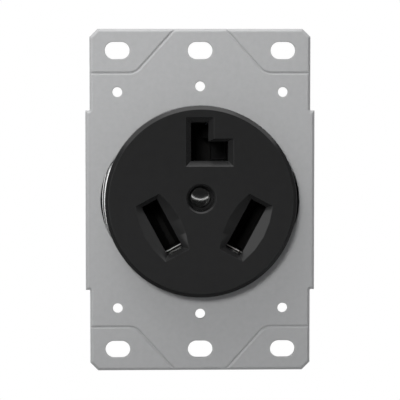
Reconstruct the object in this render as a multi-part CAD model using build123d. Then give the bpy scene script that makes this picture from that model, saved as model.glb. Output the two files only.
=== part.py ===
from build123d import *
import math
import os

# Three-slot dryer outlet for a wall box, seen from the front with the face towards -Y.
# X is to the right, Y goes into the wall, Z is up. The origin is the centre of the
# mounting strap, on its back face. All lengths are millimetres.

# Sheet of the mounting strap and the screw places that the wall box and the cover plate fix
strap_thick = 1.5
box_screw_x = 46.04
box_screw_z = 83.34
box_slot_length = 6.9
box_slot_width = 4.75
plate_screw_x = 46.04
plate_screw_z = 60.3
middle_screw_z = 63.5
screw_hole = 2.8

# Strap metal left round the slots and round the middle opening
strap_end_margin = 3.6
opening_side_margin = 4.2
opening_end_margin = 5.5
strap_step = 1.2
strap_step_round = 0.3
strap_corner = 2.2
strap_edge = 0.7

# Score lines that let the four corners be snapped off
score_z = 35.4
score_turn_inset = 5.0
score_top_inset = 3.55
score_turn_radius = 4.0
score_width = 0.85
score_depth = 0.4

# Round face of the outlet
face_radius = 26.5
face_height = 8.0
face_rim = 1.05
face_seat = 1.9
cover_front_wall = 4.0
cover_rim_wall = 2.0
throat_wall = 1.8
boss_gap = 0.4

# L slot: upright arm, foot to the right, and the lead-in round both
slot_width = 4.77
l_left = -2.73
l_bottom = 11.25
l_top = 21.9
l_foot_reach = 10.18
l_foot_height = 5.35
l_lead = 1.5
l_step_lead = 0.9
lead_depth = 1.5

# Two slanted slots, wider apart at the top
slant_length = 15.1
slant_angle = 28.2
slant_left_x = -10.7
slant_right_x = 12.4
slant_z = -7.05
slant_end_lead = 1.15
slant_side_lead = 1.3
slant_side_bulge = 1.8
slant_side_steps = 4

# Centre rivet in its round pocket
rivet_z = 0.93
rivet_radius = 2.0
rivet_head_radius = 2.85
rivet_head = 0.9
rivet_head_edge = 0.35
rivet_seat_depth = 8.0
rivet_tail_radius = 3.1
rivet_tail = 1.0
pocket_gap = 0.8
pocket_lead = 0.5

# Steel bridge round the housing: two curved legs, each with a tongue folded in under the face
leg_radius = 27.15
leg_gap = 0.55
lobe_radius = 19.5
leg_half_width = 11.0
tongue_half_width = 10.8
bridge_thick = 1.0
bridge_fold = 0.6
bridge_bend = 1.0
bend_steps = 2
lip_length = 4.75
band_half_width = 5.5
band_shoulder = 5.0
leg_clear = 0.15

# Moulded housing behind the strap
housing_depth = 27.6
housing_rear_edge = 1.6
flange_thick = 3.5
flange_side = 1.6
ear_height = 1.3

# Terminals: box lug, set screw and pressure plate, one above and two below
terminal_x = 10.5
terminal_post = 9.0
lug_width = 11.0
lug_length = 8.0
lug_wall = 1.6
lug_screw_wall = 2.6
lug_opening = 6.8
lug_gap = 0.5
lug_side_clear = 0.3
clamp_screw_radius = 3.0
clamp_screw_length = 4.0
clamp_screw_clear = 0.05
pressure_plate_thick = 1.0
pressure_plate_clear = 0.3

# Contact jaws, bent from one strip
contact_thick = 1.0
leaf_thick = 0.8
leaf_mouth = 2.9
leaf_pinch = 0.85
leaf_root = 2.2
leaf_front = 0.3
leaf_depth = 12.5
leaf_pinch_share = 0.6
blade_stop_inset = 0.6
blade_stop_gap = 0.55
tail_width = 6.6
chamber_clear = 0.4
chamber_floor_gap = 0.3
spring_thick = 0.6
spring_height = 3.2
spring_clear = 0.45

# Screws that hold the cover on the housing, from the back
cover_screw_x = 16.0
cover_screw_z = 13.0
cover_screw_radius = 1.5
cover_screw_head_radius = 2.8
cover_screw_head = 2.2
cover_screw_bite = 4.5
cover_screw_clear = 0.1
counterbore_clear = 0.4

# Places that follow from the sizes above
strap_front = -strap_thick
face_front = strap_front - face_height
opening_radius = face_radius - face_seat
opening_reach = leg_radius + leg_gap
strap_middle_half = opening_reach + opening_side_margin
strap_end_half = strap_middle_half - strap_step
strap_half_height = box_screw_z / 2 + box_slot_width / 2 + strap_end_margin
leg_inner = leg_radius - bridge_thick
housing_radius = leg_inner - leg_clear
lip_front = -ear_height - bridge_thick
lip_x = leg_radius - lip_length
boss_side = lip_x - leg_gap / 2
bridge_back = housing_depth + bridge_thick
cover_screw_seat = housing_depth - cover_screw_head - counterbore_clear
rivet_seat = face_front + rivet_seat_depth
lug_front = leaf_depth + chamber_floor_gap + 2 * bridge_thick + 0.2
lug_tail_seat = lug_front + lug_wall
lug_screw_seat = lug_tail_seat + lug_opening
lug_back = lug_screw_seat + lug_screw_wall
lug_inner_z = terminal_post + contact_thick + lug_gap
lug_centre_z = lug_inner_z + lug_length / 2
l_foot_right = l_left + l_foot_reach
l_arm_x = l_left + slot_width / 2
l_centre_z = (l_bottom + l_top) / 2


def outline(*points):
    """Closed outline through the points, always wound the same way."""
    following = points[1:] + points[:1]
    turn = sum(a[0] * b[1] - b[0] * a[1] for a, b in zip(points, following))
    return Polygon(*(points if turn > 0 else points[::-1]), align=None)


def slab(sketch, y_front, y_back):
    """Plate of the outline, drawn in X and Z, between two depths."""
    return extrude(Plane.XZ.offset(-y_back) * sketch, amount=y_back - y_front)


def wedge(front_outline, y_front, back_outline, y_back):
    """Straight-sided block between an outline at one depth and another behind it."""
    front = (Plane.XZ.offset(-y_front) * front_outline).face()
    back = (Plane.XZ.offset(-y_back) * back_outline).face()
    return loft([front, back], ruled=True)


def turned(profile, x=0.0, z=0.0):
    """Body turned about an axis along Y, from a profile in radius and depth."""
    return Pos(x, 0, z) * revolve(Plane.XY * profile, Axis.Y)


def rod(radius, y_front, y_back, x=0.0, z=0.0):
    """Round bar along Y."""
    return Pos(x, 0, z) * slab(Circle(radius), y_front, y_back)


def front_edges(solid, y, tolerance=0.001):
    """Edges that lie wholly at one depth."""
    return [e for e in solid.edges() if abs(e.bounding_box().max.Y - y) < tolerance
            and abs(e.bounding_box().min.Y - y) < tolerance]


def strap_opening():
    """Round hole with a lobe at each side for the legs of the bridge."""
    return Circle(opening_radius) + SlotOverall(2 * opening_reach, 2 * lobe_radius)


def strap_outline():
    """Outline of the strap: tall plate with a slightly wider middle."""
    middle_height = lobe_radius + opening_end_margin
    plate = Rectangle(2 * strap_end_half, 2 * strap_half_height)
    plate = chamfer(plate.vertices(), strap_corner)
    plate += Rectangle(2 * strap_middle_half, 2 * middle_height)
    inner = [v for v in plate.vertices() if abs(abs(v.Y) - middle_height) < 0.01
             and abs(abs(v.X) - strap_end_half) < 0.01]
    return fillet(inner, strap_step_round)


def strap_holes():
    """Places of the six slots and the six tapped holes."""
    slots = [(x, z) for x in (-box_screw_x / 2, 0, box_screw_x / 2)
             for z in (-box_screw_z / 2, box_screw_z / 2)]
    holes = [(x, z) for x in (-plate_screw_x / 2, plate_screw_x / 2)
             for z in (-plate_screw_z / 2, plate_screw_z / 2)]
    holes += [(0, -middle_screw_z / 2), (0, middle_screw_z / 2)]
    return slots, holes


def score_line(side, end):
    """Shallow V groove that cuts off one corner of the strap."""
    turn_x = box_screw_x / 2 - score_turn_inset
    top_x = box_slot_length / 2 + score_top_inset
    slope = (strap_half_height - score_z) / (turn_x - top_x)
    overrun = 2 * strap_edge
    path = FilletPolyline(
        (side * (strap_end_half + overrun), strap_front, end * score_z),
        (side * turn_x, strap_front, end * score_z),
        (side * (top_x - overrun / slope), strap_front, end * (strap_half_height + overrun)),
        radius=score_turn_radius)
    start = Plane(origin=path @ 0, x_dir=(0, 0, 1), z_dir=path % 0)
    notch = outline((-score_width / 2, 0), (0, score_depth), (score_width / 2, 0),
                    (0, -score_depth))
    return sweep(start * notch, path=path)


def mounting_strap():
    """Plated steel strap, punched, tapped and scored."""
    slots, holes = strap_holes()
    plate = slab(strap_outline(), strap_front, 0)
    plate = chamfer(front_edges(plate, strap_front), strap_edge)
    punched = strap_opening()
    for x, z in slots:
        punched += Pos(x, z) * SlotOverall(box_slot_length, box_slot_width)
    for x, z in holes:
        punched += Pos(x, z) * Circle(screw_hole / 2)
    plate -= slab(punched, strap_front, 0)
    for side in (-1, 1):
        for end in (-1, 1):
            plate -= score_line(side, end)
    return plate


def l_outline(lead=0.0, step_lead=0.0):
    """Outline of the L slot, grown by its lead-in."""
    return make_face(Polyline(
        (l_left - lead, l_bottom - lead),
        (l_foot_right + lead, l_bottom - lead),
        (l_foot_right + lead, l_bottom + l_foot_height + step_lead),
        (l_left + slot_width + lead, l_bottom + l_foot_height + step_lead),
        (l_left + slot_width + lead, l_top + lead),
        (l_left - lead, l_top + lead),
        close=True))


def slant_place(side):
    """Middle of a slanted slot, turned so that its top leans outwards."""
    x = slant_left_x if side < 0 else slant_right_x
    return Pos(x, slant_z) * Rot(0, 0, -side * slant_angle)


def slant_side(half_width, half_length, bulge):
    """Points up the right side of a slanted slot, bowed outwards."""
    shares = [2 * step / slant_side_steps - 1 for step in range(slant_side_steps + 1)]
    return [(half_width + bulge * (1 - share ** 2), half_length * share) for share in shares]


def slant_outline(lead=0.0, end_lead=0.0, bulge=0.0):
    """Outline of a slanted slot, grown by its lead-in, with the same count of corners."""
    right = slant_side(slot_width / 2 + lead, slant_length / 2 + end_lead, bulge)
    return outline(*right, *[(-x, -z) for x, z in right])


def face_cover():
    """Moulded black face: thick front, hollow back with a throat round each slot."""
    disc = slab(Circle(face_radius), face_front, strap_front)
    disc = chamfer(front_edges(disc, face_front), face_rim)
    body = disc + slab(Circle(opening_radius - boss_gap), strap_front, 0)
    slant = Rectangle(slot_width, slant_length)
    hollow = Circle(boss_side - cover_rim_wall)
    hollow -= offset(l_outline(), amount=throat_wall, kind=Kind.INTERSECTION)
    hollow -= Circle(rivet_head_radius + pocket_gap + throat_wall).moved(Pos(0, rivet_z))
    for side in (-1, 1):
        hollow -= slant_place(side) * offset(slant, amount=throat_wall, kind=Kind.INTERSECTION)
    for x in (-cover_screw_x, cover_screw_x):
        hollow -= Pos(x, cover_screw_z) * Circle(cover_screw_radius + throat_wall)
    body -= slab(hollow, face_front + cover_front_wall, 0)
    body -= slab(l_outline(), face_front, 0)
    body -= wedge(l_outline(l_lead, l_step_lead), face_front, l_outline(), face_front + lead_depth)
    for side in (-1, 1):
        place = slant_place(side)
        body -= slab(place * slant, face_front, 0)
        mouth = slant_outline(slant_side_lead, slant_end_lead, slant_side_bulge)
        body -= wedge(place * mouth, face_front, place * slant_outline(), face_front + lead_depth)
    for x in (-cover_screw_x, cover_screw_x):
        pilot = cover_screw_radius + cover_screw_clear
        body -= rod(pilot, -cover_screw_bite - counterbore_clear, 0, x, cover_screw_z)
    well = rivet_head_radius + pocket_gap
    pocket = outline((0, face_front), (well + pocket_lead, face_front),
                     (well, face_front + pocket_lead), (well, rivet_seat), (0, rivet_seat))
    body -= turned(pocket, 0, rivet_z)
    body -= rod(rivet_radius + leg_clear, rivet_seat, 0, 0, rivet_z)
    notch_height = 2 * (tongue_half_width + 2 * leg_clear)
    for side in (-1, 1):
        notch = Rectangle(face_radius, notch_height)
        notch = Pos(side * (boss_side + face_radius / 2), 0) * notch
        body -= slab(notch, lip_front - leg_clear, 0)
    return body


def bend_points(radius, y, bend_radius, start):
    """Points of a quarter bend in radius and depth, in equal steps from the start angle."""
    turns = [math.radians(start + 90 * step / bend_steps) for step in range(bend_steps + 1)]
    return [(radius + bend_radius * math.cos(t), y + bend_radius * math.sin(t)) for t in turns]


def bridge_section():
    """Section of a leg in radius and depth: lip in front, foot behind."""
    fold_radius, fold_y = leg_inner - bridge_fold, bridge_fold - ear_height
    bend_radius, bend_y = leg_inner - bridge_bend, housing_depth - bridge_bend
    foot = leg_radius - 3 * (bridge_bend + bridge_thick)
    outer = bend_points(fold_radius, fold_y, bridge_fold + bridge_thick, -90)
    outer += bend_points(bend_radius, bend_y, bridge_bend + bridge_thick, 0)
    inner = bend_points(fold_radius, fold_y, bridge_fold, -90)
    inner += bend_points(bend_radius, bend_y, bridge_bend, 0)
    points = [(foot, lip_front)] + outer + [(foot, bridge_back), (foot, housing_depth)]
    return outline(*points, *reversed(inner), (foot, -ear_height))


def leg_zone():
    """Blocks that keep the two legs: broad behind the strap, shaped to its opening in front."""
    broad = Rectangle(3 * leg_radius, 2 * leg_half_width)
    narrow = SlotOverall(2 * (opening_reach - leg_clear), 2 * (lobe_radius - leg_clear))
    narrow &= Rectangle(3 * leg_radius, 2 * tongue_half_width)
    return slab(broad, 0, bridge_back) + slab(narrow, lip_front, 0)


def wraparound_bridge():
    """Formed steel strip that goes round the back of the housing."""
    foot = leg_radius - 3 * (bridge_bend + bridge_thick)
    corner = math.sqrt(foot ** 2 - leg_half_width ** 2)
    shoulder = corner - band_shoulder
    right = [(shoulder, band_half_width), (corner, leg_half_width), (foot, leg_half_width),
             (foot, -leg_half_width), (corner, -leg_half_width), (shoulder, -band_half_width)]
    band = outline(*right, *[(-x, -z) for x, z in right])
    legs = turned(bridge_section()) & leg_zone()
    legs -= slab(Rectangle(2 * lip_x, 2 * leg_radius), lip_front, housing_depth / 2)
    bridge = legs + slab(band, housing_depth, bridge_back)
    bridge -= rod(rivet_radius + leg_clear, housing_depth, bridge_back, 0, rivet_z)
    return bridge


def jaw_place(side, slot_x, slot_z):
    """Turn and place of a jaw drawn upright with its blade stop downwards."""
    angle = 180 if side == 0 else side * slant_angle
    return Pos(slot_x, 0, slot_z) * Rot(0, angle, 0)


def contact_seat(side):
    """Slot middle, slot length and terminal place of a contact: 0 is the upper one."""
    if side == 0:
        return l_arm_x, l_centre_z, l_top - l_bottom, 0.0, 1
    slot_x = slant_left_x if side < 0 else slant_right_x
    return slot_x, slant_z, slant_length, side * terminal_x, -1


def tail_pad(side, grow=0.0):
    """Plan of the strip that leads from the jaw to the terminal."""
    slot_x, slot_z, _, x, end = contact_seat(side)
    outer = end * (terminal_post + contact_thick)
    low = min(outer, slot_z, end * terminal_post) - grow
    high = max(outer, slot_z, end * terminal_post) + grow
    return Pos(x, (low + high) / 2) * Rectangle(tail_width + 2 * grow, high - low)


def jaw_ends(side):
    """Local ends of a jaw: inner face of the blade stop, near and far ends of each leaf."""
    _, _, slot_length, _, _ = contact_seat(side)
    stop = slot_length / 2 - blade_stop_inset
    far = {-1: slot_length / 2, 1: slot_length / 2}
    if side == 0:
        far[-1] = l_centre_z - l_bottom - l_foot_height - blade_stop_gap
    return stop, -stop + blade_stop_gap, far


def contact(side):
    """Jaw of two bowed leaves with a blade stop, and a tail to the terminal."""
    slot_x, slot_z, slot_length, x, end = contact_seat(side)
    stop, near, far = jaw_ends(side)
    base_front = leaf_depth - contact_thick
    pinch_y = leaf_front + leaf_pinch_share * (leaf_depth - leaf_front)
    top = slot_length / 2
    stop_half = leaf_root if side != 0 else leaf_pinch + leaf_thick
    jaw = slab(Pos(0, (top - stop - contact_thick) / 2)
               * Rectangle(2 * (leaf_root + leaf_thick), top + stop + contact_thick),
               base_front, leaf_depth)
    jaw += slab(Pos(0, -stop - contact_thick / 2) * Rectangle(2 * stop_half, contact_thick),
                leaf_front, base_front)
    for hand in (-1, 1):
        inner = [(hand * leaf_mouth, leaf_front), (hand * leaf_pinch, pinch_y),
                 (hand * leaf_root, leaf_depth)]
        outer = [(x + hand * leaf_thick, y) for x, y in inner]
        leaf = outline(*inner, *reversed(outer))
        leaf = extrude(leaf, amount=far[hand] - near)
        jaw += Pos(0, 0, near) * leaf
    jaw = jaw_place(side, slot_x, slot_z) * jaw
    post_z = end * (terminal_post + contact_thick / 2)
    tail_reach = lug_length + lug_gap + contact_thick
    tail_z = end * (terminal_post + tail_reach / 2)
    jaw += slab(tail_pad(side), base_front, leaf_depth)
    jaw += slab(Pos(x, post_z) * Rectangle(tail_width, contact_thick),
                base_front, lug_tail_seat + contact_thick)
    jaw += slab(Pos(x, tail_z) * Rectangle(tail_width, tail_reach),
                lug_tail_seat, lug_tail_seat + contact_thick)
    return jaw


def contact_spring(side):
    """Steel U clip that presses the leaves together."""
    slot_x, slot_z, _, _, _ = contact_seat(side)
    stop, near, far = jaw_ends(side)
    pinch_y = leaf_front + leaf_pinch_share * (leaf_depth - leaf_front)
    half = leaf_pinch + leaf_thick + spring_clear
    closed, left, right = far[1] + spring_clear, near, near
    if side == 0:
        closed = -stop - contact_thick - spring_clear
        left, right = far[-1], far[1]
    back = closed + math.copysign(spring_thick, closed)
    outer = half + spring_thick
    clip = slab(outline((-outer, left), (-outer, back), (outer, back), (outer, right), (half, right),
                        (half, closed), (-half, closed), (-half, left)),
                pinch_y - spring_height / 2, pinch_y + spring_height / 2)
    return jaw_place(side, slot_x, slot_z) * clip


def terminal_lug(side):
    """Box lug, open towards the wire, tapped for its screw."""
    _, _, _, x, end = contact_seat(side)
    z = end * lug_centre_z
    block = slab(Pos(x, z) * Rectangle(lug_width, lug_length), lug_front, lug_back)
    block -= slab(Pos(x, z) * Rectangle(lug_width - 2 * lug_wall, lug_length),
                  lug_tail_seat, lug_screw_seat)
    return block - rod(clamp_screw_radius + clamp_screw_clear, lug_screw_seat, lug_back, x, z)


def clamp_screw(side):
    """Headless screw that clamps the wire."""
    _, _, _, x, end = contact_seat(side)
    return rod(clamp_screw_radius, lug_screw_seat, lug_screw_seat + clamp_screw_length,
               x, end * lug_centre_z)


def pressure_plate(side):
    """Plate that the screw presses on the wire."""
    _, _, _, x, end = contact_seat(side)
    width = lug_width - 2 * lug_wall - 2 * pressure_plate_clear
    plan = Rectangle(width, lug_length - 2 * pressure_plate_clear)
    return slab(Pos(x, end * lug_centre_z) * plan,
                lug_screw_seat - pressure_plate_thick, lug_screw_seat)


def cover_screw(x):
    """Pan-head screw through the housing into the cover."""
    head = rod(cover_screw_head_radius, cover_screw_seat, cover_screw_seat + cover_screw_head,
               x, cover_screw_z)
    return head + rod(cover_screw_radius, -cover_screw_bite, cover_screw_seat, x, cover_screw_z)


def centre_rivet():
    """Rivet through the face, the housing and the bridge, with a low button head."""
    top = rivet_seat - rivet_head
    head = [(0, top), (rivet_head_radius - rivet_head_edge, top),
            (rivet_head_radius, top + rivet_head_edge), (rivet_head_radius, rivet_seat)]
    tail = [(rivet_radius, rivet_seat), (rivet_radius, bridge_back), (rivet_tail_radius, bridge_back),
            (rivet_tail_radius, bridge_back + rivet_tail), (0, bridge_back + rivet_tail)]
    return turned(outline(*head, *tail), 0, rivet_z)


def chamber(side):
    """Space in the housing for one jaw and its spring."""
    slot_x, slot_z, slot_length, _, _ = contact_seat(side)
    half_width = leaf_mouth + leaf_thick + chamber_clear
    room = spring_clear + spring_thick + chamber_clear
    stop_end = slot_length / 2 - blade_stop_inset + contact_thick + room
    far_end = slot_length / 2 + room
    plan = Pos(0, (far_end - stop_end) / 2) * Rectangle(2 * half_width, far_end + stop_end)
    angle = 180 if side == 0 else -side * slant_angle
    plan = Pos(slot_x, slot_z) * Rot(0, 0, angle) * plan
    plan += tail_pad(side, chamber_clear)
    if side == 0:
        plan += offset(l_outline(), amount=chamber_clear, kind=Kind.INTERSECTION)
    return slab(plan, 0, leaf_depth + chamber_floor_gap)


def terminal_bay(side):
    """Space for a lug, open to the back and outwards to the wire."""
    _, _, _, x, end = contact_seat(side)
    inner = terminal_post - chamber_clear
    reach = housing_radius
    plan = Rectangle(lug_width + 2 * lug_side_clear, reach)
    bay = slab(Pos(x, end * (inner + reach / 2)) * plan, lug_front, housing_depth)
    post = Rectangle(tail_width + 2 * chamber_clear, contact_thick + 2 * chamber_clear)
    post_z = end * (terminal_post + contact_thick / 2)
    return bay + slab(Pos(x, post_z) * post, leaf_depth, lug_front)


def housing_body():
    """Moulded base: flange behind the strap, round barrel, chambers and terminal bays."""
    flange = Circle(face_radius) + SlotOverall(2 * (opening_reach + flange_side),
                                               2 * (lobe_radius + flange_side))
    leg_slots = Circle(leg_radius + leg_clear) - Circle(housing_radius)
    leg_slots &= Rectangle(3 * leg_radius, 2 * (leg_half_width + leg_clear))
    barrel = slab(Circle(housing_radius), 0, housing_depth)
    barrel = chamfer(front_edges(barrel, housing_depth), housing_rear_edge)
    body = barrel + slab(flange - leg_slots, 0, flange_thick)
    ear_root = flange_thick / 2
    ear_section = outline((0, ear_root), (housing_radius, ear_root),
                          (housing_radius, bridge_fold - ear_height),
                          (housing_radius - bridge_fold, -ear_height), (0, -ear_height))
    ear_plan = Rectangle(3 * leg_radius, 2 * (tongue_half_width - leg_clear))
    ear_plan -= Rectangle(2 * lip_x, 2 * leg_radius)
    body += turned(ear_section) & slab(ear_plan, -ear_height, ear_root)
    for side in (-1, 0, 1):
        body -= chamber(side)
        body -= terminal_bay(side)
    body -= rod(rivet_radius + leg_clear, 0, housing_depth, 0, rivet_z)
    for x in (-cover_screw_x, cover_screw_x):
        shank = cover_screw_radius + cover_screw_clear
        body -= rod(shank, 0, housing_depth, x, cover_screw_z)
        bore = cover_screw_head_radius + counterbore_clear
        body -= rod(bore, cover_screw_seat, housing_depth, x, cover_screw_z)
    return body


def build_pieces():
    """All pieces by name, in the order in which they go together."""
    pieces = {
        "mounting_strap": mounting_strap(),
        "face_cover": face_cover(),
        "housing_body": housing_body(),
        "wraparound_bridge": wraparound_bridge(),
        "centre_rivet": centre_rivet(),
        "cover_screw_left": cover_screw(-cover_screw_x),
        "cover_screw_right": cover_screw(cover_screw_x),
    }
    for side, place in ((0, "top"), (-1, "left"), (1, "right")):
        pieces["contact_" + place] = contact(side)
        pieces["contact_spring_" + place] = contact_spring(side)
        pieces["terminal_lug_" + place] = terminal_lug(side)
        pieces["clamp_screw_" + place] = clamp_screw(side)
        pieces["pressure_plate_" + place] = pressure_plate(side)
    return pieces


os.makedirs("parts", exist_ok=True)
for name, piece in build_pieces().items():
    export_step(piece, "parts/" + name + ".step")
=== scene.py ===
import math

import bpy
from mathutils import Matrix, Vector


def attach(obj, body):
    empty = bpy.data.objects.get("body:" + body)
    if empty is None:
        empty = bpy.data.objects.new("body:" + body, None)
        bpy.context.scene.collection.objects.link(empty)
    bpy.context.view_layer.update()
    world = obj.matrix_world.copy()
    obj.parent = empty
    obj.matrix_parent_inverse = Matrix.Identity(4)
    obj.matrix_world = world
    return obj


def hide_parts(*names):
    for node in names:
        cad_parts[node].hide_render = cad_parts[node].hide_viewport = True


# Three-slot dryer outlet, flush type, as it hangs in front of the wall before it is wired.
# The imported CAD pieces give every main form. Lengths are metres; X is right, Y into the wall, Z up.
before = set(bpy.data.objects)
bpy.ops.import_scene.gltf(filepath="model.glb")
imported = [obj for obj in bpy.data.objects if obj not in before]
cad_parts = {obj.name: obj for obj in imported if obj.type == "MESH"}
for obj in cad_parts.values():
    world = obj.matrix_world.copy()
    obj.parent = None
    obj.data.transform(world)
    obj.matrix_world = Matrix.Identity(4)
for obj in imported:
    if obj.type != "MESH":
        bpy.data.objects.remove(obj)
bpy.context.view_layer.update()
bpy.context.scene.view_settings.view_transform = "Standard"


# Mounting strap: a punched steel plate with six screw slots, six tapped holes and score lines
# for snapping off its corners. Satin zinc plate gives it a fine cloudy grey.
mm = 0.001
strap_grey = (0.425, 0.427, 0.43)


def finish(name, colour, spread, grain, roughness, metallic, gloss=0.5):
    """Material whose colour drifts by spread over clouds of the grain size."""
    made = bpy.data.materials.new(name)
    made.use_nodes = True
    nodes, links = made.node_tree.nodes, made.node_tree.links
    shader = nodes["Principled BSDF"]
    shader.inputs["Roughness"].default_value = roughness
    shader.inputs["Metallic"].default_value = metallic
    shader.inputs["Specular IOR Level"].default_value = gloss
    place = nodes.new("ShaderNodeTexCoord")
    clouds = nodes.new("ShaderNodeTexNoise")
    clouds.inputs["Scale"].default_value = 1 / grain
    clouds.inputs["Detail"].default_value = 5
    clouds.inputs["Roughness"].default_value = 0.62
    links.new(place.outputs["Object"], clouds.inputs["Vector"])
    tones = nodes.new("ShaderNodeValToRGB")
    low, high = tones.color_ramp.elements
    low.position, high.position = 0.3, 0.7
    low.color = (*[c * (1 - spread) for c in colour], 1)
    high.color = (*[c * (1 + spread) for c in colour], 1)
    links.new(clouds.outputs["Fac"], tones.inputs["Fac"])
    links.new(tones.outputs["Color"], shader.inputs["Base Color"])
    return made


def grain_bump(made, grain, height, edge=0.0):
    """Adds a fine surface grain, and softened edges of the given radius."""
    nodes, links = made.node_tree.nodes, made.node_tree.links
    place = nodes.new("ShaderNodeTexCoord")
    speckle = nodes.new("ShaderNodeTexNoise")
    speckle.inputs["Scale"].default_value = 1 / grain
    speckle.inputs["Detail"].default_value = 3
    relief = nodes.new("ShaderNodeBump")
    relief.inputs["Strength"].default_value = 1.0
    relief.inputs["Distance"].default_value = height
    links.new(place.outputs["Object"], speckle.inputs["Vector"])
    links.new(speckle.outputs["Fac"], relief.inputs["Height"])
    links.new(relief.outputs["Normal"], nodes["Principled BSDF"].inputs["Normal"])
    if edge:
        worn = nodes.new("ShaderNodeBevel")
        worn.samples = 6
        worn.inputs["Radius"].default_value = edge
        links.new(worn.outputs["Normal"], relief.inputs["Normal"])


def dress(node, material):
    """Gives a CAD piece its only material."""
    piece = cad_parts[node]
    piece.data.materials.clear()
    piece.data.materials.append(material)


zinc_plate = finish("zinc_plate", strap_grey, 0.035, 1.6 * mm, 0.5, 0.2)
grain_bump(zinc_plate, 0.35 * mm, 0.004 * mm, 0.45 * mm)
dress("mounting_strap", zinc_plate)


# Threads of the six tapped holes: shallow ridges that wind through the 1.5 mm of the strap.
# They take the 6-32 screws of a cover plate.
thread_pitch = 0.794 * mm
thread_crest = 1.37 * mm
thread_root = 1.41 * mm
strap_front = -1.5 * mm
ridge_start = 0.14 * mm
ridge_half = 0.12 * mm
ridge_winds = 1.55
thread_steps = 30


def piece_from(name, points, faces, material):
    """Mesh piece of the outlet that rides on its one body."""
    mesh = bpy.data.meshes.new(name)
    mesh.from_pydata([tuple(p) for p in points], [], faces)
    mesh.validate()
    mesh.update()
    mesh.materials.append(material)
    piece = bpy.data.objects.new(name, mesh)
    bpy.context.scene.collection.objects.link(piece)
    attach(piece, "root")
    return piece


tapped_holes = [(x, z) for x in (-23.02 * mm, 23.02 * mm) for z in (-30.15 * mm, 30.15 * mm)]
tapped_holes += [(0, -31.75 * mm), (0, 31.75 * mm)]
ridge_points, ridge_faces = [], []
ridge_rows = ((thread_root, -ridge_half), (thread_crest, 0), (thread_root, ridge_half))
ridge_count = int(ridge_winds * thread_steps)
for hole_x, hole_z in tapped_holes:
    first = len(ridge_points)
    for step in range(ridge_count + 1):
        turn = 2 * math.pi * step / thread_steps
        y = strap_front + ridge_start + thread_pitch * step / thread_steps
        for radius, shift in ridge_rows:
            ridge_points.append((hole_x + radius * math.cos(turn), y + shift,
                                 hole_z + radius * math.sin(turn)))
    for step in range(ridge_count):
        a = first + 3 * step
        ridge_faces += [(a, a + 1, a + 4, a + 3), (a + 1, a + 2, a + 5, a + 4)]
piece_from("tapped_threads", ridge_points, ridge_faces, zinc_plate)


# Face cover: a thick black phenolic disc, moulded with the slots' lead-ins and the rivet pocket.
# Its front has a matte grain from the mould, and its rim a plain chamfer.
face_black = (0.0158, 0.0158, 0.0159)
matte_face = finish("matte_face", face_black, 0.06, 2.4 * mm, 0.2, 0.0, 0.42)
grain_bump(matte_face, 0.22 * mm, 0.006 * mm, 0.18 * mm)
dress("face_cover", matte_face)


# Housing: the moulded base behind the strap, with chambers for the contacts and bays for the lugs.
# It is the same sort of black moulding as the face; out at its sides, in the grooves of the bridge,
# its gloss is taken off as painted shade for the dark gap there.
base_black = (0.008, 0.008, 0.0082)
base_gloss = 0.4
gloss_until_gap_shade, painted_gap_shade_from = 26.7 * mm, 26.9 * mm


def fade(made, axis, start, end, first, last):
    """Socket that goes from first to last as a coordinate's size goes from start to end."""
    nodes, links = made.node_tree.nodes, made.node_tree.links
    place = nodes.new("ShaderNodeTexCoord")
    axes = nodes.new("ShaderNodeSeparateXYZ")
    size = nodes.new("ShaderNodeMath")
    size.operation = "ABSOLUTE"
    ramp = nodes.new("ShaderNodeMapRange")
    ends = {"From Min": start, "From Max": end, "To Min": first, "To Max": last}
    for end_name, value in ends.items():
        ramp.inputs[end_name].default_value = value
    links.new(place.outputs["Object"], axes.inputs["Vector"])
    links.new(axes.outputs[axis], size.inputs[0])
    links.new(size.outputs["Value"], ramp.inputs["Value"])
    return ramp.outputs["Result"]


base_finish = finish("base_finish", base_black, 0.08, 3.5 * mm, 0.48, 0.0)
grain_bump(base_finish, 0.5 * mm, 0.008 * mm)
# Painted shade: the gloss fades out towards the sides, so the gap beside the bridge's legs looks
# dark.
base_finish.node_tree.links.new(
    fade(base_finish, "X", gloss_until_gap_shade, painted_gap_shade_from, base_gloss, 0.0),
    base_finish.node_tree.nodes["Principled BSDF"].inputs["Specular IOR Level"])
dress("housing_body", base_finish)


# Bridge: a bright plated steel strip bent round the back of the housing, its two tongues
# folded in under the face. Where its legs go through the strap it is painted dark, as painted shade
# in the gap there.
bridge_grey = (0.6, 0.6, 0.595)
bridge_painted_shade = (0.03, 0.03, 0.03)
painted_shade_until, unshaded_from = 3.0 * mm, 5.0 * mm
bridge_plate = finish("bridge_plate", bridge_grey, 0.05, 2.2 * mm, 0.3, 0.9)
grain_bump(bridge_plate, 0.6 * mm, 0.003 * mm, 0.15 * mm)
bridge_links = bridge_plate.node_tree.links
bridge_shader = bridge_plate.node_tree.nodes["Principled BSDF"]
# Painted shade: towards the front the colour, gloss and metal fade to dark, for the shade where the
# legs pass the strap.
unshaded_share = fade(bridge_plate, "Y", painted_shade_until, unshaded_from, 0.0, 1.0)
painted_shade_blend = bridge_plate.node_tree.nodes.new("ShaderNodeMix")
painted_shade_blend.data_type = "RGBA"
painted_shade_blend.inputs["A"].default_value = (*bridge_painted_shade, 1)
bridge_links.new(unshaded_share, painted_shade_blend.inputs["Factor"])
bridge_links.new(bridge_shader.inputs["Base Color"].links[0].from_socket, painted_shade_blend.inputs["B"])
bridge_links.new(painted_shade_blend.outputs["Result"], bridge_shader.inputs["Base Color"])
bridge_links.new(unshaded_share, bridge_shader.inputs["Specular IOR Level"])
bridge_links.new(unshaded_share, bridge_shader.inputs["Metallic"])
dress("wraparound_bridge", bridge_plate)


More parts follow.
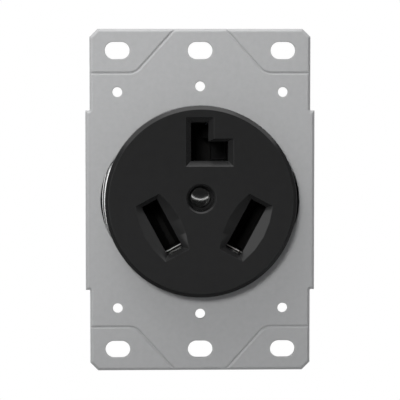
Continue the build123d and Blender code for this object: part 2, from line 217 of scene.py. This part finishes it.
# Folds of the bridge: where each leg turns in under the face, its bend is drawn to a smooth round.
# The two rounds are the bright crescents, and they taper where the strap's opening narrows.
fold_round = 0.72 * mm
fold_front = -2.28 * mm
fold_foot = -0.95 * mm
fold_outer = 26.97 * mm
fold_half_turn = 24.3
fold_steps = 48
fold_turns = 10
lobe_centre = 8.2 * mm
lobe_reach = 19.35 * mm
fold_grey = (0.9, 0.9, 0.895)
bright_fold = finish("bright_fold", fold_grey, 0.04, 2.2 * mm, 0.18, 1.0)


def arc(centre, radius, start, end, steps):
    """Points of an arc in radius and depth; angles in degrees from the radius axis."""
    turns = [math.radians(start + (end - start) * k / steps) for k in range(steps + 1)]
    return [(centre[0] + radius * math.cos(t), centre[1] + radius * math.sin(t)) for t in turns]


def smooth_sides(piece, sharp):
    """Smooths the four-sided faces, but not across edges sharper than the angle in degrees."""
    faces = piece.data.polygons
    faces.foreach_set("use_smooth", [len(f.vertices) == 4 for f in faces])
    piece.data.set_sharp_from_angle(angle=math.radians(sharp))


for place, side in (("left", -1), ("right", 1)):
    fold_points, fold_faces = [], []
    row = fold_turns + 2
    for step in range(fold_steps + 1):
        turn = math.radians(fold_half_turn * (2 * step / fold_steps - 1))
        lobe_chord = math.sqrt(lobe_reach ** 2 - (lobe_centre * math.sin(turn)) ** 2)
        edge = min(fold_outer, lobe_centre * math.cos(turn) + lobe_chord)
        section = arc((edge - fold_round, fold_front + fold_round), fold_round, -90, 0, fold_turns)
        section.append((edge, fold_foot))
        fold_points += [(side * r * math.cos(turn), y, r * math.sin(turn)) for r, y in section]
    for step in range(fold_steps):
        for k in range(row):
            a, b = step * row + k, step * row + (k + 1) % row
            fold_faces.append((a, b, b + row, a + row)[::side])
    last = fold_steps * row
    fold_faces.append(tuple(range(row))[::-side])
    fold_faces.append(tuple(range(last, last + row))[::side])
    fold = piece_from("bridge_fold_" + place, fold_points, fold_faces, bright_fold)
    smooth_sides(fold, 50)


# Centre rivet: a polished steel rivet that holds face, housing and bridge together. Its button
# head sits deep in the pocket of the face, and its tail is rolled over behind the bridge.
rivet_grey = (0.62, 0.62, 0.61)
rivet_z = 0.93 * mm
head_radius = 2.85 * mm
head_front = -2.4 * mm
head_rise = 0.125 * mm
head_edge = 0.25 * mm
head_seat = -1.5 * mm
crown_tip_turn = -89.95
shank_radius = 2.0 * mm
tail_seat = 28.6 * mm
tail_radius = 3.1 * mm
tail_height = 1.0 * mm
tail_round = 0.45 * mm
dimple_radius = 0.9 * mm
dimple_floor_radius = 0.7 * mm
dimple_edge_height = 0.5 * mm
dimple_floor_height = 0.4 * mm
turned_tip = 0.05 * mm


def turned(name, profile, x, z, material, segments=64):
    """Body turned about a line along Y, from its profile in radius and depth."""
    points, faces = [], []
    for radius, depth in profile:
        for k in range(segments):
            turn = 2 * math.pi * k / segments
            points.append((x + radius * math.cos(turn), depth, z + radius * math.sin(turn)))
    for row in range(len(profile) - 1):
        for k in range(segments):
            a, b = row * segments + k, row * segments + (k + 1) % segments
            faces.append((a, b, b + segments, a + segments))
    faces.append(tuple(range(segments - 1, -1, -1)))
    last = (len(profile) - 1) * segments
    faces.append(tuple(range(last, last + segments)))
    piece = piece_from(name, points, faces, material)
    smooth_sides(piece, 35)
    return piece


rivet_polish = finish("rivet_polish", rivet_grey, 0.04, 0.9 * mm, 0.08, 1.0)
crown_radius = head_radius - head_edge
ball = (crown_radius ** 2 + head_rise ** 2) / (2 * head_rise)
head_turn = math.degrees(math.asin(crown_radius / ball))
rivet_profile = arc((0, head_front + ball), ball, crown_tip_turn, head_turn - 90, 12)
rivet_profile += arc((crown_radius, head_front + head_rise + head_edge), head_edge, -70, 0, 5)
rivet_profile += [(head_radius, head_seat), (shank_radius, head_seat), (shank_radius, tail_seat),
                  (tail_radius, tail_seat)]
rivet_profile += arc((tail_radius - tail_round, tail_seat + tail_height - tail_round),
                     tail_round, 0, 90, 6)
rivet_profile += [(dimple_radius, tail_seat + tail_height),
                  (dimple_floor_radius, tail_seat + dimple_edge_height),
                  (turned_tip, tail_seat + dimple_floor_height)]
rivet = turned("rivet_turned", rivet_profile, 0, rivet_z, rivet_polish)
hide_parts("centre_rivet")


# Contacts: jaws bent from tinned brass strip, one behind each slot, with a tail to its terminal.
# Their colour is painted near black and dull, as painted shade deep in the slots, because the slots
# look almost black in the photograph.
contact_painted_shade = (0.009, 0.0089, 0.0087)
brass_in_painted_shade = finish("brass_in_painted_shade", contact_painted_shade, 0.12, 1.8 * mm, 0.6, 0.1, 0.2)
grain_bump(brass_in_painted_shade, 0.5 * mm, 0.003 * mm, 0.12 * mm)
for place in ("top", "left", "right"):
    dress("contact_" + place, brass_in_painted_shade)


# Highlight strips on the blade stops: a thin bright piece lies on each stop's front edge, a painted
# highlight where that edge catches the light. Each shows as a thin line across the lower end of a
# slanted slot.
slant_places = {"left": (-10.7 * mm, -28.2), "right": (12.4 * mm, 28.2)}
slant_z = -7.05 * mm
stop_top = -6.95 * mm
stop_half = 2.2 * mm
edge_front = 0.22 * mm
edge_back = 0.32 * mm
edge_height = 0.28 * mm
edge_slope = 0.1 * mm
painted_highlight_grey = (0.8, 0.8, 0.79)
# Painted highlight: a bright strip stands for each stop's front edge catching the light.
painted_edge_highlight = finish("painted_edge_highlight", painted_highlight_grey, 0.05, 0.5 * mm, 0.4, 0.4)
for place, (slot_x, lean) in slant_places.items():
    turn = math.radians(lean)
    corners = []
    for x in (-stop_half, stop_half):
        for y, z in ((edge_back, stop_top), (edge_back, stop_top - edge_height),
                     (edge_front, stop_top - edge_height), (edge_front, stop_top - edge_slope)):
            corners.append((slot_x + x * math.cos(turn) + z * math.sin(turn), y,
                            slant_z - x * math.sin(turn) + z * math.cos(turn)))
    sides = [(0, 1, 2, 3), (4, 7, 6, 5), (0, 3, 7, 4), (3, 2, 6, 7), (2, 1, 5, 6), (1, 0, 4, 5)]
    piece_from("painted_highlight_strip_" + place, corners, sides, painted_edge_highlight)


# Contact springs: clips bent from thin blued steel, one sprung round each contact's jaws.
# They press the leaves on the blade.
spring_blue = (0.16, 0.18, 0.22)
blued_steel = finish("blued_steel", spring_blue, 0.12, 1.4 * mm, 0.36, 0.9)
for place in ("top", "left", "right"):
    dress("contact_spring_" + place, blued_steel)


# Terminal lugs and pressure plates: plated steel boxes open to the wire, each with a loose
# plate that the clamp screw drives on the stripped end.
lug_grey = (0.5, 0.5, 0.49)
lug_plate = finish("lug_plate", lug_grey, 0.07, 1.6 * mm, 0.36, 0.9)
grain_bump(lug_plate, 0.4 * mm, 0.003 * mm, 0.3 * mm)
for place in ("top", "left", "right"):
    dress("terminal_lug_" + place, lug_plate)
    dress("pressure_plate_" + place, lug_plate)


# Clamp screws: headless screws of plated steel, with a cut thread and a driver slot. They are
# turned in from the back of the lugs, and drive the pressure plates on the wires.
screw_grey = (0.55, 0.55, 0.53)
clamp_radius = 3.0 * mm
clamp_front = 23.4 * mm
clamp_back = 27.4 * mm
clamp_pitch = 0.8 * mm
clamp_crests = 4
clamp_crest_half = 0.08 * mm
clamp_root_from = 0.4 * clamp_pitch
clamp_thread_depth = 0.3 * mm
clamp_edge = 0.55 * mm
clamp_slot_width = 1.1 * mm
clamp_slot_depth = 1.5 * mm
clamp_slot_reach = 4 * mm
slot_past = 1 * mm
lug_centre_z = 14.5 * mm
lug_x = {"top": 0.0, "left": -10.5 * mm, "right": 10.5 * mm}


def cut_slot(piece, low, high):
    """Cuts a straight driver slot out of a piece, between its lowest and highest corners."""
    corners = [(x, y, z) for x in (low[0], high[0]) for y in (low[1], high[1])
               for z in (low[2], high[2])]
    sides = [(0, 1, 3, 2), (4, 6, 7, 5), (0, 4, 5, 1), (2, 3, 7, 6), (0, 2, 6, 4), (1, 5, 7, 3)]
    mesh = bpy.data.meshes.new("slot_bar")
    mesh.from_pydata(corners, [], sides)
    bar = bpy.data.objects.new("slot_bar", mesh)
    bpy.context.scene.collection.objects.link(bar)
    cut = piece.modifiers.new("driver_slot", "BOOLEAN")
    cut.object, cut.operation, cut.solver = bar, "DIFFERENCE", "EXACT"
    bpy.context.view_layer.update()
    cut_mesh = bpy.data.meshes.new_from_object(
        piece.evaluated_get(bpy.context.evaluated_depsgraph_get()))
    piece.modifiers.remove(cut)
    piece.data = cut_mesh
    bpy.data.objects.remove(bar)


screw_plate = finish("screw_plate", screw_grey, 0.06, 1.2 * mm, 0.32, 0.9)
grain_bump(screw_plate, 0.3 * mm, 0.002 * mm)
for place, x in lug_x.items():
    z = lug_centre_z if place == "top" else -lug_centre_z
    profile = [(turned_tip, clamp_front), (clamp_radius - clamp_thread_depth, clamp_front)]
    for crest in range(clamp_crests):
        y = clamp_front + clamp_pitch * (crest + 0.5)
        profile += [(clamp_radius, y - clamp_crest_half), (clamp_radius, y + clamp_crest_half),
                    (clamp_radius - clamp_thread_depth, y + clamp_root_from)]
    profile += [(clamp_radius - clamp_edge, clamp_back), (turned_tip, clamp_back)]
    screw = turned("clamp_screw_turned_" + place, profile, x, z, screw_plate, 48)
    half = clamp_slot_width / 2
    cut_slot(screw, (x - clamp_slot_reach, clamp_back - clamp_slot_depth, z - half),
             (x + clamp_slot_reach, clamp_back + slot_past, z + half))
    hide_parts("clamp_screw_" + place)


# Cover screws: two pan-head screws of plated steel. Their heads are sunk in the back of the
# housing, and they pull the cover on.
cover_screw_z = 13.0 * mm
cover_seat = 25.0 * mm
cover_head = 2.2 * mm
cover_head_radius = 2.8 * mm
cover_shank_radius = 1.5 * mm
cover_tip = -4.5 * mm
cover_tip_length = 0.6 * mm
cover_head_round = 1.0 * mm
cover_crown = 0.15 * mm
cover_slot_depth = 0.9 * mm
cover_slot_half = 0.4 * mm
cover_slot_reach = 3.2 * mm
for place, x in (("left", -16.0 * mm), ("right", 16.0 * mm)):
    back = cover_seat + cover_head
    profile = [(turned_tip, cover_tip), (cover_shank_radius, cover_tip + cover_tip_length),
               (cover_shank_radius, cover_seat), (cover_head_radius, cover_seat)]
    profile += arc((cover_head_radius - cover_head_round, back - cover_head_round - cover_crown),
                   cover_head_round, 0, 78, 6)
    profile += [(turned_tip, back)]
    screw = turned("cover_screw_turned_" + place, profile, x, cover_screw_z, screw_plate,
                   48)
    cut_slot(screw,
             (x - cover_slot_reach, back - cover_slot_depth, cover_screw_z - cover_slot_half),
             (x + cover_slot_reach, back + slot_past, cover_screw_z + cover_slot_half))
    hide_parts("cover_screw_" + place)


# Floor: a small pale disc on the stage. It lies so far below the outlet that the picture's
# frame looks past it.
floor_z = -0.22
floor_radius = 0.36
floor_grey = (0.8, 0.8, 0.8)
bpy.ops.mesh.primitive_circle_add(vertices=96, radius=floor_radius, fill_type="NGON",
                                  location=(0, 0, floor_z))
floor = bpy.context.object
floor.name = "studio_floor"
floor.visible_glossy = False
floor.data.materials.append(finish("pale_floor", floor_grey, 0.015, 40 * mm, 0.8, 0.0))


# Studio cards: a black card with a round hole and a grey disc in it, both far behind the camera
# and seen only in polished metal and gloss. The gap between them is mirrored in the rivet's head.
card_centre = (0.054, -1.4, 0.238)
disc_radius = 0.375
hole_radius = 0.405
card_radius = 1.2
card_segments = 96
cloth_black = (0.02, 0.02, 0.02)
paper_low = (0.11, 0.11, 0.11)
paper_high = (0.045, 0.045, 0.045)
paper_high_from = 0.16


def mirrored_only(name, mesh):
    """Stage piece that shows in reflections alone."""
    piece = bpy.data.objects.new(name, mesh)
    bpy.context.scene.collection.objects.link(piece)
    piece.visible_camera = False
    piece.visible_diffuse = False
    piece.visible_shadow = False


def studio_card(name, inner, outer, material):
    """Flat ring, or a disc where the inner radius is nothing, that faces the outlet."""
    points, faces = [], []
    for k in range(card_segments):
        turn = 2 * math.pi * k / card_segments
        for radius in (inner, outer):
            points.append((card_centre[0] + radius * math.cos(turn), card_centre[1],
                           card_centre[2] + radius * math.sin(turn)))
    for k in range(card_segments):
        a, b = 2 * k, 2 * ((k + 1) % card_segments)
        faces.append((a, a + 1, b + 1, b))
    mesh = bpy.data.meshes.new(name)
    mesh.from_pydata(points, [], faces)
    mesh.materials.append(material)
    mirrored_only(name, mesh)


black_cloth = finish("black_cloth", cloth_black, 0.1, 50 * mm, 0.9, 0.0)
studio_card("black_card", hole_radius, card_radius, black_cloth)
grey_paper = finish("grey_paper", paper_low, 0.1, 50 * mm, 0.9, 0.0)
paper_nodes, paper_links = grey_paper.node_tree.nodes, grey_paper.node_tree.links
paper_place = paper_nodes.new("ShaderNodeTexCoord")
paper_axes = paper_nodes.new("ShaderNodeSeparateXYZ")
paper_fade = paper_nodes.new("ShaderNodeValToRGB")
paper_fade.color_ramp.elements[0].color = (*paper_low, 1)
paper_fade.color_ramp.elements[1].color = (*paper_high, 1)
paper_fade.color_ramp.elements[1].position = paper_high_from
paper_links.new(paper_place.outputs["Generated"], paper_axes.inputs["Vector"])
paper_links.new(paper_axes.outputs["Z"], paper_fade.inputs["Fac"])
paper_links.new(paper_fade.outputs["Color"], paper_nodes["Principled BSDF"].inputs["Base Color"])
studio_card("grey_disc", 0.0, disc_radius, grey_paper)


# Side cards: two cards that glow, a bright one at the left and a dim one at the right, each turned to
# the outlet.
# They are mirrored in the folds of the bridge and in the worn edges of the strap.
card_low, card_high = -0.35, 0.72
card_near, card_far = (0.44, -0.95), (1.01, -0.27)
side_grey = (0.1, 0.1, 0.1)
for place, side, glow in (("left", -1, 1.3), ("right", 1, 0.3)):
    corners = [(side * x, y, z) for x, y in (card_near, card_far) for z in (card_low, card_high)]
    side_mesh = bpy.data.meshes.new("side_card_" + place)
    side_mesh.from_pydata(corners, [], [(0, 1, 3, 2)])
    side_glow = finish("side_glow_" + place, side_grey, 0.02, 50 * mm, 0.9, 0.0)
    glow_shader = side_glow.node_tree.nodes["Principled BSDF"]
    glow_shader.inputs["Emission Color"].default_value = (1, 1, 1, 1)
    glow_shader.inputs["Emission Strength"].default_value = glow
    side_mesh.materials.append(side_glow)
    mirrored_only("side_card_" + place, side_mesh)


# Black flags: two upright sheets and one lying below them, which keep the white of the room out
# of the gloss on the outlet's sides. The top and the back stay open.
flag_x, flag_low, flag_high = 1.1, -0.9, 0.75
flag_front, flag_back = -1.35, 0.25
flag_outline = ((-flag_x, flag_high), (-flag_x, flag_low), (flag_x, flag_low), (flag_x, flag_high))
flag_points = [(x, y, z) for y in (flag_front, flag_back) for x, z in flag_outline]
flag_mesh = bpy.data.meshes.new("black_flags")
flag_mesh.from_pydata(flag_points, [], [(0, 1, 5, 4), (1, 2, 6, 5), (2, 3, 7, 6)])
flag_mesh.materials.append(black_cloth)
mirrored_only("black_flags", flag_mesh)


# Lamps: a soft key in front, whose narrow beam falls off to the lower right, a near one that
# grazes the strap from its upper left, and a broad one overhead.
key_place = (-0.24, -1.12, 0.34)
key_aim = (-0.03, 0, 0.06)
near_place = (-0.13, -0.13, 0.34)
top_place = (0.0, -0.1, 1.2)


def soft_lamp(name, place, size, power, in_gloss=True, aim=(0, 0, 0), beam=180):
    """Square lamp; one that isn't in the gloss leaves no bright spots. The beam is in degrees."""
    light = bpy.data.lights.new(name, "AREA")
    light.shape = "SQUARE"
    light.size = size
    light.energy = power
    light.spread = math.radians(beam)
    lamp = bpy.data.objects.new(name, light)
    lamp.location = place
    lamp.rotation_euler = (Vector(aim) - Vector(place)).to_track_quat("-Z", "Y").to_euler()
    lamp.visible_glossy = in_gloss
    bpy.context.scene.collection.objects.link(lamp)


soft_lamp("key_lamp", key_place, 0.28, 0.25, in_gloss=False, aim=key_aim, beam=21)
soft_lamp("near_lamp", near_place, 0.24, 0.7, in_gloss=False)
soft_lamp("top_lamp", top_place, 1.1, 3.0)


# World: white where it is seen, mirrored or seen through something, and a dim even light on
# everything else.
ambient_colour = (0.95, 0.97, 1.0)
ambient_strength = 0.2
world = bpy.data.worlds.new("studio")
world.use_nodes = True
bpy.context.scene.world = world
sky, wires = world.node_tree.nodes, world.node_tree.links
ray = sky.new("ShaderNodeLightPath")
seen_or_mirrored = sky.new("ShaderNodeMath")
seen_or_mirrored.operation = "MAXIMUM"
white_ray = sky.new("ShaderNodeMath")
white_ray.operation = "MAXIMUM"
wires.new(ray.outputs["Is Camera Ray"], seen_or_mirrored.inputs[0])
wires.new(ray.outputs["Is Glossy Ray"], seen_or_mirrored.inputs[1])
wires.new(seen_or_mirrored.outputs[0], white_ray.inputs[0])
wires.new(ray.outputs["Is Transmission Ray"], white_ray.inputs[1])
white = sky.new("ShaderNodeBackground")
white.inputs["Color"].default_value = (1, 1, 1, 1)
white.inputs["Strength"].default_value = 1.0
ambient = sky["Background"]
ambient.inputs["Color"].default_value = (*ambient_colour, 1)
ambient.inputs["Strength"].default_value = ambient_strength
either = sky.new("ShaderNodeMixShader")
wires.new(white_ray.outputs[0], either.inputs["Fac"])
wires.new(ambient.outputs[0], either.inputs[1])
wires.new(white.outputs[0], either.inputs[2])
wires.new(either.outputs[0], sky["World Output"].inputs["Surface"])


# Camera: a long lens a little to the left of the outlet and above it, as in the photograph.
camera_distance = 0.62
camera_azimuth = math.radians(-2.0)
camera_elevation = math.radians(3.6)
picture_pixels = 400
pixels_per_mm = 3.58
frame_width = picture_pixels / pixels_per_mm * mm
lens = bpy.data.cameras.new("front_camera")
lens.sensor_width = 36
lens.sensor_fit = "HORIZONTAL"
lens.lens = lens.sensor_width * camera_distance / frame_width
lens.clip_start = 0.01
camera = bpy.data.objects.new("front_camera", lens)
level = camera_distance * math.cos(camera_elevation)
camera.location = (level * math.sin(camera_azimuth), -level * math.cos(camera_azimuth),
                   camera_distance * math.sin(camera_elevation))
camera.rotation_euler = (-camera.location).to_track_quat("-Z", "Y").to_euler()
bpy.context.scene.collection.objects.link(camera)
bpy.context.scene.camera = camera
